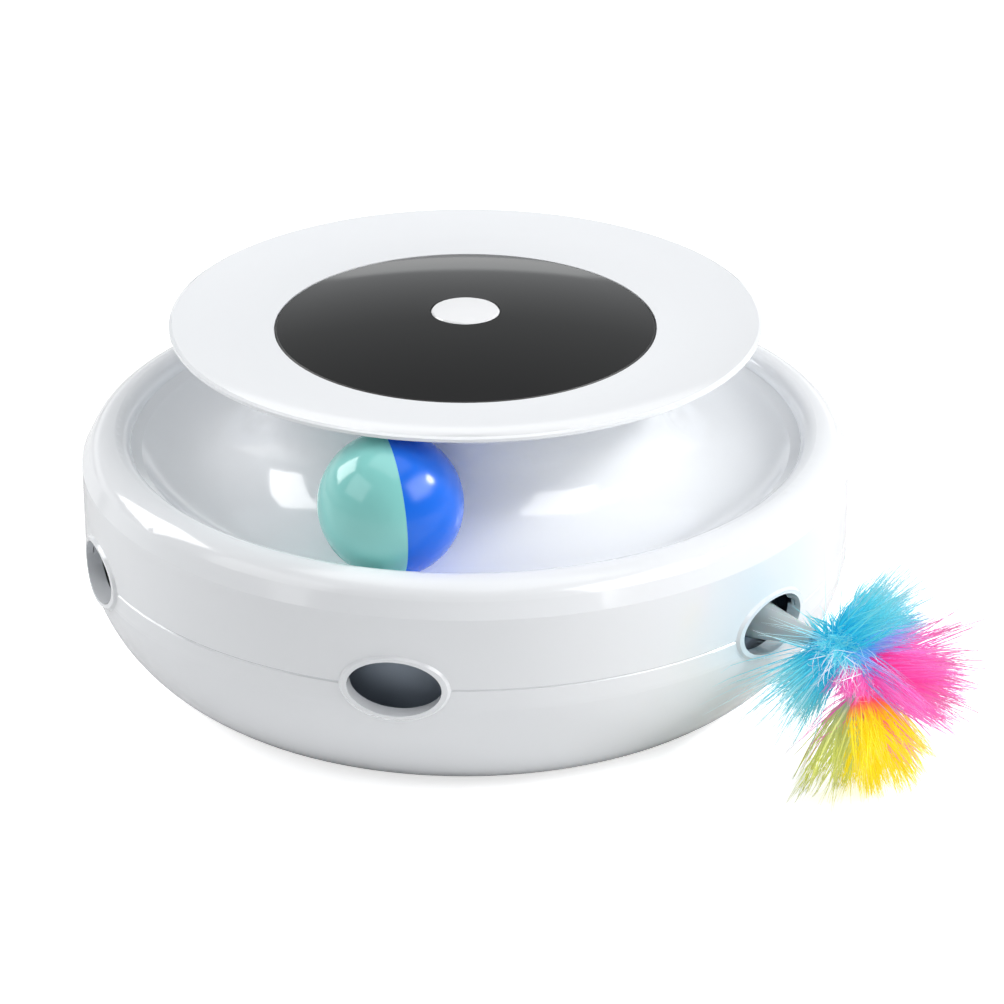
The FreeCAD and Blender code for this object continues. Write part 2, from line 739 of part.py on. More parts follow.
# Top plate, disc and button
def top_plate():
    hub_inner = tower_radius - wall
    rim_edge = plate_thickness / 2
    rim_bevel = rim_edge / 2
    flare_z = track_floor_z + 2 * ball_radius - flare_drop
    shape = Outline(0, plate_floor_z).line(hub_inner, plate_floor_z).line(hub_inner, tower_z)
    shape.line(tower_radius, tower_z).line(tower_radius, flare_z)
    steep = math.radians(flare_slope)
    flat = math.radians(dish_slope)
    fillet_x = tower_radius + flare_fillet * (1 - math.sin(steep))
    fillet_z = flare_z + flare_fillet * math.cos(steep)
    shape.turn(tower_radius + flare_fillet, flare_z, fillet_x, fillet_z)
    flare_x = fillet_x + flare_round * math.sin(steep)
    flare_centre_z = fillet_z - flare_round * math.cos(steep)
    dish_x = flare_x - flare_round * math.sin(flat)
    dish_z = flare_centre_z + flare_round * math.cos(flat)
    shape.turn(flare_x, flare_centre_z, dish_x, dish_z)
    rim_x = plate_radius - rim_edge
    shape.line(rim_x + rim_edge * math.sin(flat), rim_z - rim_edge - rim_edge * math.cos(flat))
    shape.line(plate_radius, rim_z - rim_edge - rim_bevel).line(plate_radius, rim_z - rim_bevel)
    shape.line(rim_x, rim_z)
    run = rim_x - dish_start_radius
    dish_round = (run ** 2 + plate_dish_depth ** 2) / (2 * plate_dish_depth)
    shape.turn(dish_start_radius, disc_edge_z + dish_round, dish_start_radius, disc_edge_z)
    dish_start = disc_radius + loose_gap
    shape.line(dish_start, disc_edge_z).line(dish_start, ledge_z).line(recess_radius, ledge_z)
    shape.line(recess_radius, recess_floor_z).line(0, recess_floor_z)
    plate = shape.spun()
    stand = rod(2.5, recess_floor_z - 1, board_z, board_post_ring_radius)
    plate = fused([plate] + around(stand, 4, 45))
    hole = rod(screw_radius + loose_gap, plate_floor_z - 1, recess_floor_z + 1, post_ring_radius)
    pilot = rod(screw_radius * 0.8, board_z - 3, board_z + 1, board_post_ring_radius)
    for cut in around(hole, post_count, 90) + around(pilot, 4, 45):
        plate = plate.cut(cut)
    return plate


def crown_drop(radius, edge_radius, rise):
    """How far a domed top has fallen at a radius, if it falls by its rise at its edge."""
    sphere = (edge_radius ** 2 + rise ** 2) / (2 * rise)
    return sphere - math.sqrt(sphere ** 2 - radius ** 2)


def dome_z(radius, drop=0.0):
    """Height of the disc's crown at a radius, less a drop."""
    return disc_top_z - drop - crown_drop(radius, disc_radius, disc_rise)


def disc_cover():
    hole = button_radius + loose_gap
    rib_outer = recess_radius - slip_gap
    rib_inner = rib_outer - disc_thickness
    edge_round = 0.5
    shape = Outline(hole, dome_z(hole, disc_thickness))
    shape.arc(rib_inner / 2, dome_z(rib_inner / 2, disc_thickness), rib_inner, dome_z(rib_inner, disc_thickness))
    shape.line(rib_inner, ledge_z - 3).line(rib_outer, ledge_z - 3)
    shape.line(rib_outer, ledge_z).line(disc_radius, ledge_z).line(disc_radius, disc_edge_z - edge_round)
    shape.line(disc_radius - edge_round, dome_z(disc_radius - edge_round))
    middle = (disc_radius + hole) / 2
    shape.arc(middle, dome_z(middle), hole, dome_z(hole))
    return shape.spun()


def power_button():
    top = flange_z + button_height
    flange_radius = button_radius + button_flange_width
    edge = 0.4
    shape = Outline(0, stem_end_z).line(button_stem_radius, stem_end_z)
    shape.line(button_stem_radius, flange_z).line(flange_radius, flange_z)
    shape.line(flange_radius, flange_z + button_flange_thickness)
    shape.line(button_radius, flange_z + button_flange_thickness)
    shape.line(button_radius, top - button_crown - edge)
    crown_edge = button_radius - edge
    shape.line(crown_edge, top - button_crown)
    shape.arc(crown_edge / 2, top - crown_drop(crown_edge / 2, crown_edge, button_crown), 0, top)
    return shape.spun()


def control_board():
    board = rod(board_radius, board_z, board_top_z)
    hole = rod(screw_radius, board_z - 1, board_top_z + 1, board_post_ring_radius)
    for cut in around(hole, 4, 45):
        board = board.cut(cut)
    return board


def board_components():
    chip = block(9, 15, -3.5, 3.5, board_top_z, board_top_z + 1.5)
    driver = block(-14, -9, -2.5, 2.5, board_top_z, board_top_z + 1.3)
    capacitor = rod(3.0, board_top_z, board_top_z + 5.5, 0, 12)
    plug = block(-6, 6, -16, -11, board_top_z, board_top_z + 4.5)
    return [chip, driver, capacitor, plug]


def board_screws():
    return screws_at(board_top_z, board_post_ring_radius, 4, 45, 1.9, 1.2, screw_radius * 0.8, 4.2)


def screws_at(z, ring_radius, count, start, head_radius, head_height, radius, length):
    """Pan head screws standing on a face at z, evenly spaced about the turning axis."""
    return around(pan_screw(z, head_radius, head_height, radius, length, ring_radius), count, start)


def pan_screw(z, head_radius, head_height, radius, length, x=0.0, y=0.0):
    shape = Outline(0, z - length).line(radius, z - length).line(radius, z).line(head_radius, z)
    shape.line(head_radius * 0.8, z + head_height).line(0, z + head_height)
    recess = block(-head_radius * 0.6, head_radius * 0.6, -0.3, 0.3, z + head_height / 2, z + head_height + 1)
    return moved(shape.spun().cut(recess), x, y, 0)


def tact_switch():
    half = switch_size / 2
    return block(-half, half, -half, half, board_top_z, switch_top_z)


def switch_dome():
    shape = Outline(0, switch_top_z).line(dome_radius, switch_top_z)
    shape.line(dome_radius * 0.6, dome_top_z).line(0, dome_top_z)
    return shape.spun()


# Turntable
def turntable_drum():
    inner = drum_radius - drum_wall
    skirt_z = drum_floor_z - drum_skirt_height
    wall_top = drum_wall_top_z
    shape = Outline(0, drum_floor_z).line(inner, drum_floor_z).line(inner, skirt_z)
    shape.line(drum_radius, skirt_z).line(drum_radius, wall_top).line(inner, wall_top)
    shape.line(inner, drum_top_z).line(0, drum_top_z)
    drum = shape.spun()
    hub = rod(hub_radius, skirt_z, skirt_z + hub_length())
    nozzle = rod_along_x(nozzle_bore_radius + nozzle_wall, inner - nozzle_depth + nozzle_proud,
                         drum_radius + nozzle_proud, seam_z)
    drum = fused([drum, hub, nozzle])
    cuts = [rod(pivot_pin_radius + running_gap + bush_wall, 0, crest_z)]
    cuts.append(rod_along_x(nozzle_bore_radius, inner - nozzle_depth, body_radius, seam_z))
    first_slot = nozzle_bore_radius + nozzle_wall + drum_slot_pitch
    for i in range(3):
        for side in (-1, 1):
            y = side * (first_slot + i * drum_slot_pitch)
            cuts.append(block(inner - drum_wall * 4, body_radius, y - drum_slot_width / 2,
                              y + drum_slot_width / 2, seam_z - drum_slot_height / 2,
                              seam_z + drum_slot_height / 2))
    for cut in cuts:
        drum = drum.cut(cut)
    return drum


def ring_gear():
    pitch = index_module * ring_teeth / 2
    outer = pitch + tooth_dedendum * index_module + ring_gear_rim
    space = gear_outline(ring_teeth, index_module, -gear_backlash, tooth_dedendum, tooth_addendum)
    space = moved(space.extrude(FreeCAD.Vector(0, 0, gear_height + 2)), 0, 0, ring_gear_z - 1)
    return rod(outer, ring_gear_z, drum_floor_z).cut(space)


def pivot_bush():
    skirt_z = drum_floor_z - drum_skirt_height
    bore = pivot_pin_radius + running_gap
    shape = Outline(bore, skirt_z - bush_flange_thickness + slip_gap)
    shape.line(bush_flange_radius, skirt_z - bush_flange_thickness + slip_gap)
    shape.line(bush_flange_radius, skirt_z).line(bore + bush_wall, skirt_z)
    shape.line(bore + bush_wall, skirt_z + hub_length()).line(bore, skirt_z + hub_length())
    return shape.spun()


def pivot_washer():
    return tube(washer_radius, screw_radius, pivot_top_z(), pivot_top_z() + washer_thickness)


def pivot_screw():
    return pan_screw(pivot_top_z() + washer_thickness, pivot_head_radius, pivot_head_height,
                     screw_radius, screw_length)


# Wand and its guide
def wand_guide():
    """Two rails that hold the carriage down, tied at their ends, open over the pivot."""
    ledge_z = carriage_z - slip_gap
    lip_z = carriage_z + carriage_flange_thickness + loose_gap
    wall_y = rail_half_width - rail_wall_thickness
    side = [(rail_ledge_half_gap, drum_top_z), (rail_half_width, drum_top_z),
            (rail_half_width, lip_z + rail_lip_thickness),
            (wall_y - rail_lip_width, lip_z + rail_lip_thickness), (wall_y - rail_lip_width, lip_z),
            (wall_y, lip_z), (wall_y, ledge_z), (rail_ledge_half_gap, ledge_z)]
    corners = [FreeCAD.Vector(rail_inner_end, y, z) for y, z in side]
    rail = Part.Face(Part.makePolygon(corners + corners[:1]))
    rail = rail.extrude(FreeCAD.Vector(rail_outer_end - rail_inner_end, 0, 0))
    stop = block(rail_inner_end, rail_inner_end + rail_tie_width, -rail_half_width, rail_half_width,
                 drum_top_z, lip_z + rail_lip_thickness)
    tie = block(rail_outer_end - rail_tie_width, rail_outer_end, -rail_half_width, rail_half_width,
                drum_top_z, ledge_z - loose_gap)
    guide = fused([rail, turned(rail, 180, X_AXIS, FreeCAD.Vector(0, 0, 0)).mirror(ORIGIN, Z_AXIS), stop, tie])
    room = rod(hub_radius + 1.5, 0, ledge_z - slip_gap)
    ledge_room = rod(hub_radius + 1.5, 0, ledge_z + 1).common(
        block(-hub_radius * 2, hub_radius * 2, -wall_y, wall_y, 0, ledge_z + 1))
    return guide.cut(room).cut(ledge_room)


def rack_tooth(x):
    """One rack tooth centred on x, standing on the carriage's top."""
    slope = math.tan(math.radians(pressure_angle))
    half_pitch = math.pi * rack_module / 4 - gear_backlash / 2
    root_half = half_pitch + tooth_dedendum * rack_module * slope
    tip_half = half_pitch - tooth_addendum * rack_module * slope
    tip_z = rack_pitch_z + tooth_addendum * rack_module
    shape = Outline(x - root_half, carriage_top_z).line(x + root_half, carriage_top_z)
    shape.line(x + tip_half, tip_z).line(x - tip_half, tip_z)
    return moved(shape.face().extrude(FreeCAD.Vector(0, 2 * rack_half_width, 0)), 0, -rack_half_width, 0)


def wand_carriage():
    body = block(carriage_inner_end, carriage_outer_end, -carriage_half_width, carriage_half_width,
                 carriage_z, carriage_top_z)
    flange = block(carriage_inner_end, carriage_outer_end, -carriage_flange_half_width,
                   carriage_flange_half_width, carriage_z, carriage_z + carriage_flange_thickness)
    pitch = math.pi * rack_module
    teeth = [rack_tooth(drive_gear_x + (i - 0.5) * pitch) for i in range(rack_tooth_count)]
    collar = rod_along_x(socket_radius, carriage_outer_end - socket_plug_length, carriage_outer_end, seam_z)
    # The collar has a flat on top, so that the drive gear runs on over it
    collar = collar.cut(block(carriage_outer_end - socket_plug_length - 1, carriage_outer_end + 1,
                              -socket_radius, socket_radius, carriage_top_z, carriage_top_z + socket_radius))
    shape = fused([body, flange, collar] + teeth)
    bore = rod_along_x(socket_plug_radius + slip_gap, carriage_outer_end - socket_plug_length - loose_gap,
                       carriage_outer_end + 1, seam_z)
    shape = shape.cut(bore)
    pocket_count = 5
    pocket_start = carriage_inner_end + 4
    pocket_pitch = (carriage_outer_end - socket_plug_length - 4 - pocket_start) / pocket_count
    for i in range(pocket_count):
        x = pocket_start + i * pocket_pitch
        for side in (-1, 1):
            near = side * carriage_half_width
            far = side * (carriage_half_width - 3.5)
            shape = shape.cut(block(x, x + pocket_pitch - 2.5, min(near, far), max(near, far),
                                    carriage_z + carriage_flange_thickness + 1.5, carriage_top_z - 2))
    return shape


def wand_socket():
    x0 = carriage_outer_end
    cup_x = x0 + socket_flange_thickness
    shape = Outline(x0 - socket_plug_length, 0).line(x0 - socket_plug_length, socket_plug_radius)
    shape.line(x0, socket_plug_radius).line(x0, socket_radius).line(socket_end_x, socket_radius)
    shape.line(socket_end_x, sleeve_plug_radius + slip_gap).line(cup_x, sleeve_plug_radius + slip_gap)
    shape.line(cup_x, 0)
    socket = shape.spun_about_x()
    notch = block(socket_end_x - socket_notch_length, socket_end_x + 1, -socket_notch_width / 2,
                  socket_notch_width / 2, sleeve_plug_radius - 1, socket_radius + 1)
    for i in range(socket_notch_count):
        socket = socket.cut(turned(notch, 360.0 * i / socket_notch_count, X_AXIS))
    return moved(socket, 0, 0, seam_z)


def feather_sleeve():
    start = carriage_outer_end + socket_flange_thickness + loose_gap
    shoulder = socket_end_x + slip_gap
    full = shoulder + 5.0
    tip_bore = quill_radius + slip_gap
    shape = Outline(start, sleeve_plug_radius - sleeve_wall).line(start, sleeve_plug_radius)
    shape.line(shoulder, sleeve_plug_radius).line(shoulder, sleeve_shoulder_radius)
    shape.line(full, sleeve_shoulder_radius - 0.3)
    shape.arc((full + sleeve_end_x) / 2, (sleeve_shoulder_radius + sleeve_tip_radius) / 2 - 0.3,
              sleeve_end_x, sleeve_tip_radius)
    shape.line(sleeve_end_x, tip_bore).line(sleeve_end_x - quill_grip, tip_bore)
    shape.line(full, sleeve_plug_radius - sleeve_wall)
    return moved(shape.spun_about_x(), 0, 0, seam_z)


def feather_quill():
    return rod_along_x(quill_radius, sleeve_end_x - quill_grip, root_x, seam_z)


def tuft_reach(heading):
    """How far the plume's egg shape reaches from the fan's root along a unit heading."""
    halves = (plume_half_length, plume_half_width, plume_half_height)
    start = [-drift / half for drift, half in zip(plume_drift, halves)]
    step = [way / half for way, half in zip(heading, halves)]
    square = sum(v * v for v in step)
    along = sum(u * v for u, v in zip(start, step))
    rest = sum(u * u for u in start) - 1
    return (-along + math.sqrt(along ** 2 - square * rest)) / square


def tuft(heading):
    """One drop shaped tuft, thin at the fan's root and round at its tip."""
    spread = math.radians(tuft_half_angle)
    middle = tuft_reach(heading) / (1 + math.sin(spread))
    radius = middle * math.sin(spread)
    side_x = middle * math.cos(spread) ** 2
    side_r = middle * math.cos(spread) * math.sin(spread)
    shape = Outline(tuft_root, 0).line(tuft_root, tuft_root * math.tan(spread)).line(side_x, side_r)
    for i in range(1, tuft_cap_steps + 1):
        lean = (math.pi / 2 + spread) * (1 - i / tuft_cap_steps)
        shape.line(middle + radius * math.cos(lean), radius * math.sin(lean))
    drop = shape.spun_about_x()
    way = FreeCAD.Vector(*heading)
    drop.Placement = FreeCAD.Placement(FreeCAD.Vector(root_x, 0, seam_z), FreeCAD.Rotation(X_AXIS, way))
    return drop


def plume():
    """Tufts fanned over a ball of directions, each in the colour whose heading is the nearest."""
    headings = {"plume_blue": blue_heading, "plume_pink": pink_heading, "plume_yellow": yellow_heading}
    tufts = {name: [] for name in headings}
    for polar, count in tuft_rings:
        for i in range(count):
            lean = math.radians(polar)
            turn = 2 * math.pi * (i + 0.5) / count
            way = (math.cos(lean), math.sin(lean) * math.sin(turn), math.sin(lean) * math.cos(turn))
            name = max(headings, key=lambda n: sum(u * v for u, v in zip(headings[n], way)))
            tufts[name].append(tuft(way))
    return tufts


# Drives
def index_motor():
    top = index_motor_top_z
    can = rod(index_motor_radius, index_motor_z, top, index_gear_x)
    step = rod(index_motor_radius - 1.5, top - 1, top + index_nose_height / 2, index_gear_x)
    nose = rod(motor_nose_radius + 0.6, top - 1, top + index_nose_height, index_gear_x)
    bore = rod(index_shaft_radius + running_gap, top - 8, top + 5, index_gear_x)
    return fused([can, step, nose]).cut(bore)


def clamp_z():
    """Underside of the plate that holds the index motor down."""
    return index_motor_top_z + slip_gap


def clamp_post_places():
    return [(index_gear_x, clamp_post_offset), (index_gear_x, -clamp_post_offset)]


def index_motor_clamp():
    low = clamp_z()
    high = low + clamp_thickness
    plate = rod(index_motor_radius, low, high, index_gear_x)
    strap = block(index_gear_x - clamp_post_radius, index_gear_x + clamp_post_radius,
                  -clamp_post_offset, clamp_post_offset, low, high)
    ends = [rod(clamp_post_radius, low, high, x, y) for x, y in clamp_post_places()]
    shape = fused([plate, strap] + ends)
    shape = shape.cut(rod(index_motor_radius - 1.5 + loose_gap, low - 1, low + 0.8, index_gear_x))
    shape = shape.cut(rod(motor_nose_radius + 0.6 + loose_gap, low - 1, high + 1, index_gear_x))
    for x, y in clamp_post_places():
        shape = shape.cut(rod(screw_radius + slip_gap, low - 1, high + 1, x, y))
    return shape


def clamp_screws():
    top = clamp_z() + clamp_thickness
    return [pan_screw(top, 2.4, 1.3, screw_radius, screw_length, x, y) for x, y in clamp_post_places()]


def index_shaft():
    return rod(index_shaft_radius, index_motor_top_z - 8 + loose_gap, ring_gear_z + index_gear_height,
               index_gear_x)


def index_pinion():
    gear = moved(spur_gear(index_teeth, index_module, index_gear_height), index_gear_x, 0, ring_gear_z)
    return gear.cut(rod(index_shaft_radius, 0, crest_z, index_gear_x))


def drive_bracket():
    """Two cheeks that carry the drive gear's shaft, bridged over the top, with the motor's seat."""
    low = drum_top_z
    bridge_z = drive_gear_z + train_module * (train_gear_teeth / 2 + tooth_addendum) + 2 * loose_gap
    back = bracket_back_x
    right_front = back + bracket_right_length
    left_front = back + bracket_left_length
    bridge_front = back + bridge_length
    right = Outline(back, low).line(right_front, low).line(motor_x + motor_radius + 1, motor_z - 8)
    right.line(motor_x + motor_radius + 1, motor_z + 8).line(motor_x + 4, motor_z + motor_radius + 1)
    right.line(back, motor_z + motor_radius + 1)
    left = Outline(back, low).line(left_front, low).line(left_front, bridge_z)
    left.line(bridge_front, bridge_z + bridge_thickness).line(back, bridge_z + bridge_thickness)
    thick = FreeCAD.Vector(0, cheek_thickness, 0)
    right_cheek = moved(right.face().extrude(thick), 0, cheek_y, 0)
    left_cheek = moved(left.face().extrude(thick), 0, -cheek_y - cheek_thickness, 0)
    outer = cheek_y + cheek_thickness
    bridge = block(back, bridge_front, -outer, outer, bridge_z, bridge_z + bridge_thickness)
    right_foot = block(back, right_front, cheek_y, outer + cheek_foot_width, low, low + cheek_thickness)
    left_foot = block(back, left_front, -outer - cheek_foot_width, -cheek_y, low, low + cheek_thickness)
    shape = fused([right_cheek, left_cheek, bridge, right_foot, left_foot])
    shape = shape.cut(rod_along_y(gear_shaft_radius, -outer - 1, outer + 1, drive_gear_x, drive_gear_z))
    shape = shape.cut(rod_along_y(motor_nose_radius + slip_gap, cheek_y - 1, outer + 1, motor_x, motor_z))
    for x, y in bracket_screw_places():
        shape = shape.cut(rod(screw_radius, low - 1, low + cheek_thickness + 1, x, y))
    return shape


def bracket_screw_places():
    y = cheek_y + cheek_thickness + cheek_foot_width / 2 + 0.5
    back = bracket_back_x + bracket_screw_inset
    right_front = bracket_back_x + bracket_right_length - bracket_screw_inset
    left_front = bracket_back_x + bracket_left_length - bracket_screw_inset
    return [(back, y), (right_front, y), (back, -y), (left_front, -y)]


def bracket_screws():
    top = drum_top_z + cheek_thickness
    return [pan_screw(top, screw_head_radius, screw_head_height, screw_radius, cheek_thickness - 0.1, x, y)
            for x, y in bracket_screw_places()]


def gear_shaft():
    outer = cheek_y + cheek_thickness
    return rod_along_y(gear_shaft_radius, -outer, outer, drive_gear_x, drive_gear_z)


def drive_gear():
    """The rack pinion and the larger train gear on one hub, running on the shaft."""
    train_y = carriage_half_width + 2 * loose_gap
    small = upright(spur_gear(rack_pinion_teeth, rack_module, 2 * rack_pinion_half_width),
                    -rack_pinion_half_width, drive_gear_x, drive_gear_z)
    large_gear = turned(spur_gear(train_gear_teeth, train_module, train_gear_width),
                        train_lean - 180.0 / train_gear_teeth)
    large = upright(large_gear, train_y, drive_gear_x, drive_gear_z)
    hub = rod_along_y(3.2, -cheek_y + loose_gap, cheek_y - loose_gap, drive_gear_x, drive_gear_z)
    bore = rod_along_y(gear_shaft_radius + running_gap, -cheek_y, cheek_y, drive_gear_x, drive_gear_z)
    return fused([small, large, hub]).cut(bore)


def motor_pinion():
    train_y = carriage_half_width + 2 * loose_gap
    gear = upright(spur_gear(train_pinion_teeth, train_module, train_gear_width), train_y, motor_x, motor_z)
    return gear.cut(rod_along_y(motor_shaft_radius, 0, 2 * cheek_y, motor_x, motor_z))


def motor_shaft():
    train_y = carriage_half_width + 2 * loose_gap
    end = cheek_y + cheek_thickness + 5
    return rod_along_y(motor_shaft_radius, train_y - 0.5, end, motor_x, motor_z)


def wand_motor():
    front = cheek_y + cheek_thickness
    can = rod_along_y(motor_radius, front, front + motor_length, motor_x, motor_z)
    flats = block(motor_x - motor_radius, motor_x + motor_radius, front - 1, front + motor_length + 1,
                  motor_z - 0.78 * motor_radius, motor_z + 0.78 * motor_radius)
    nose = rod_along_y(motor_nose_radius, cheek_y + 0.5, front + 1, motor_x, motor_z)
    cap = rod_along_y(motor_nose_radius, front + motor_length - 1, front + motor_length + 1.5, motor_x, motor_z)
    bore = rod_along_y(motor_shaft_radius + running_gap, cheek_y, front + 5 + loose_gap, motor_x, motor_z)
    return fused([can.common(flats), nose, cap]).cut(bore)


# Ball
def along_ball_axis(shape):
    """From the Z axis to the ball's own axis and place."""
    shape = turned(shape, 90 - ball_axis_elevation, Y_AXIS)
    shape = turned(shape, ball_axis_azimuth)
    x, y = ball_place()
    return moved(shape, x, y, ball_z)


def ball_place():
    angle = math.radians(ball_azimuth)
    return track_radius * math.cos(angle), track_radius * math.sin(angle)


def shell_with_tongue():
    """Half a hollow ball above z = 0, with the lap's tongue below it."""
    inner = ball_radius - ball_wall
    edge = ball_radius - ball_wall / 2 - slip_gap / 2
    turn_inner = math.sqrt(0.5) * inner
    turn_outer = math.sqrt(0.5) * ball_radius
    shape = Outline(inner, 0).line(inner, -ball_lap).line(edge, -ball_lap).line(edge, 0)
    shape.line(ball_radius, 0).arc(turn_outer, turn_outer, 0, ball_radius).line(0, inner)
    shape.arc(turn_inner, turn_inner, inner, 0)
    return shape.spun()


def shell_with_recess():
    """The other half, also above z = 0, with the recess that the tongue goes into."""
    inner = ball_radius - ball_wall
    edge = ball_radius - ball_wall / 2 + slip_gap / 2
    depth = ball_lap + slip_gap
    turn_outer = math.sqrt(0.5) * ball_radius
    middle = (math.pi / 2 + math.asin(depth / inner)) / 2
    shape = Outline(edge, 0).line(ball_radius, 0).arc(turn_outer, turn_outer, 0, ball_radius)
    shape.line(0, inner)
    shape.arc(inner * math.cos(middle), inner * math.sin(middle), math.sqrt(inner ** 2 - depth ** 2), depth)
    shape.line(edge, depth)
    return shape.spun()


def ball_shell_blue():
    return along_ball_axis(shell_with_tongue())


def ball_shell_mint():
    shell = shell_with_recess()
    slot = block(-ball_slot_length / 2, ball_slot_length / 2, -ball_slot_width / 2, ball_slot_width / 2,
                 ball_radius - 2 * ball_wall, ball_radius + 1)
    shell = shell.cut(turned(turned(slot, ball_slot_polar, Y_AXIS), 20))
    return along_ball_axis(turned(shell, 180, X_AXIS))


def ball_bell():
    x, y = ball_place()
    inner = ball_radius - ball_wall
    z = ball_z - inner + loose_gap + bell_radius
    shell = Part.makeSphere(bell_radius).cut(Part.makeSphere(bell_radius - bell_wall))
    slot = block(-bell_radius, bell_radius, -bell_slot_width / 2, bell_slot_width / 2,
                 bell_radius * 0.2, bell_radius + 1)
    return moved(shell.cut(slot).cut(turned(slot, 90)), x, y, z)


def plate_screws():
    return screws_at(recess_floor_z, post_ring_radius, post_count, 90, screw_head_radius,
                     screw_head_height, screw_radius, screw_length + plate_thickness - 1)


def all_parts():
    parts = {
        "base_shell": base_shell(),
        "upper_shell": upper_shell(),
        "foot_ring": foot_ring(),
        "battery_door": battery_door(),
        "battery_cells": battery_cells(),
        "battery_contacts": battery_contacts(),
        "battery_springs": battery_springs(),
        "top_plate": top_plate(),
        "plate_screws": plate_screws(),
        "disc_cover": disc_cover(),
        "power_button": power_button(),
        "control_board": control_board(),
        "board_components": board_components(),
        "board_screws": board_screws(),
        "tact_switch": tact_switch(),
        "switch_dome": switch_dome(),
        "turntable_drum": turntable_drum(),
        "ring_gear": ring_gear(),
        "pivot_bush": pivot_bush(),
        "pivot_washer": pivot_washer(),
        "pivot_screw": pivot_screw(),
        "wand_guide": wand_guide(),
        "drive_bracket": drive_bracket(),
        "bracket_screws": bracket_screws(),
        "gear_shaft": gear_shaft(),
        "wand_motor": wand_motor(),
        "drive_gear": drive_gear(),
        "motor_pinion": motor_pinion(),
        "motor_shaft": motor_shaft(),
        "index_motor": index_motor(),
        "index_motor_clamp": index_motor_clamp(),
        "clamp_screws": clamp_screws(),
        "index_shaft": index_shaft(),
        "index_pinion": index_pinion(),
        "wand_carriage": wand_carriage(),
        "wand_socket": wand_socket(),
        "feather_sleeve": feather_sleeve(),
        "feather_quill": feather_quill(),
        "ball_shell_mint": ball_shell_mint(),
        "ball_shell_blue": ball_shell_blue(),
        "ball_bell": ball_bell(),
    }
    parts.update(plume())
    return parts


os.makedirs("parts", exist_ok=True)
for name, shape in all_parts().items():
    solids = shape if isinstance(shape, list) else [shape]
    solid = Part.makeCompound([s for piece in solids for s in piece.Solids])
    valid = all(s.isValid() for s in solid.Solids)
    print(name, len(solid.Solids), "solids", round(solid.Volume / 1000, 2), "cm3", "" if valid else "NOT VALID")
    solid.exportStep(f"parts/{name}.step")
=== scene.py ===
import math
import random

import bpy
from mathutils import Matrix, Vector


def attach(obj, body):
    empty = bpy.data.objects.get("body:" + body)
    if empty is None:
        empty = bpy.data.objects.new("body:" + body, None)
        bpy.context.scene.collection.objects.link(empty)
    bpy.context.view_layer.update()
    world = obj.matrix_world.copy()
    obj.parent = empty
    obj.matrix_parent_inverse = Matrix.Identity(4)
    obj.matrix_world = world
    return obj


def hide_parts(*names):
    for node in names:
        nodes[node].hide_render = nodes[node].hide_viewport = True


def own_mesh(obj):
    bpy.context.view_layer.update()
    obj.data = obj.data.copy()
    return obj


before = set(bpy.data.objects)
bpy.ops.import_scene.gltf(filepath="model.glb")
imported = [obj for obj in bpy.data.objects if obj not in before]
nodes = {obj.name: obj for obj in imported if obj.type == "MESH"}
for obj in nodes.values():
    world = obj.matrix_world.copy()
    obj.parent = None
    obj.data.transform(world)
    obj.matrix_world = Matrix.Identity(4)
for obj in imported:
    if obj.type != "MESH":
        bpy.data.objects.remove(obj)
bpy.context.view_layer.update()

# The electric turntable toy's looks, in metres: camera, light, finishes and the feather plume.

# Camera, at the photograph's place
camera_target = Vector((0.0, 0.0, 0.052))
camera_distance = 1.401
camera_elevation = math.radians(25.12)
camera_heading = math.radians(-49.8)      # of the camera seen from above, from +X
camera_turn = 0.0084                      # of its aim, to the right
camera_dip = 0.002                        # of its aim, down
camera_near = 0.05
picture_pixels = 1004
focal_pixels = 4266
sensor_width = 36.0

# Finishes
noise_range = (0.3, 0.7)                  # a noise texture is seldom outside it
cloud_range = (0.35, 0.65)                # the noise over which a moulding's two tones blend
cloud_scale = 6
rough_scale = 25
grain_scale = 900
coat_rough = 0.06
metal_tint = 0.85                         # the darker tone of a metal beside its own colour
metal_scale = 220
metal_rough_scale = 500
metal_stretch = (1, 1, 12)                # of its streaks, which are short in height
disc_index = 1.75                         # how strongly the disc mirrors, as a refractive index
disc_bevel = 0.0006                       # how much of the disc's edge is left dull
bevel_rough = 0.55

# Plume
blue_root = Vector((0.1500, 0.0, 0.0446))
pink_root = Vector((0.1585, 0.0, 0.0405))
yellow_root = Vector((0.1605, -0.002, 0.0325))
casing_radius = 0.1275
floor_gap = 0.0006
sector_count = 16
strand_steps = 7
strand_taper = 0.85                       # the share of its width that a strand loses by its tip
taper_power = 1.5
width_spread = (0.75, 1.2)
length_spread = (0.72, 1.04)              # of the strands in a clump
clump_length_spread = (0.88, 1.05)        # of the clumps in a fan
clump_place_spread = (0.1, 0.9)           # of a clump, in its share of the fan
bend_spread = (0.6, 1.4)
neck = 0.0012                             # how far a clump's strands are from its middle at the root
swell_rate = 2.2                          # how soon a clump is at its widest
gather_start = 0.4                        # where along it a clump starts to draw together
gather_power = 1.3
stray_spread = 1.5                        # how far a stray strand's tip stands off, beside its clump
shortest_draw = 0.1                       # of a random vector that is made a direction
painted_down_glow = 0.28                          # painted glow: the down emits its own colour, standing in for light passed on from strand to strand
strand_shades = [(0.0, (0.75, 0.77, 0.79)), (1.0, (1.0, 1.0, 1.0))]

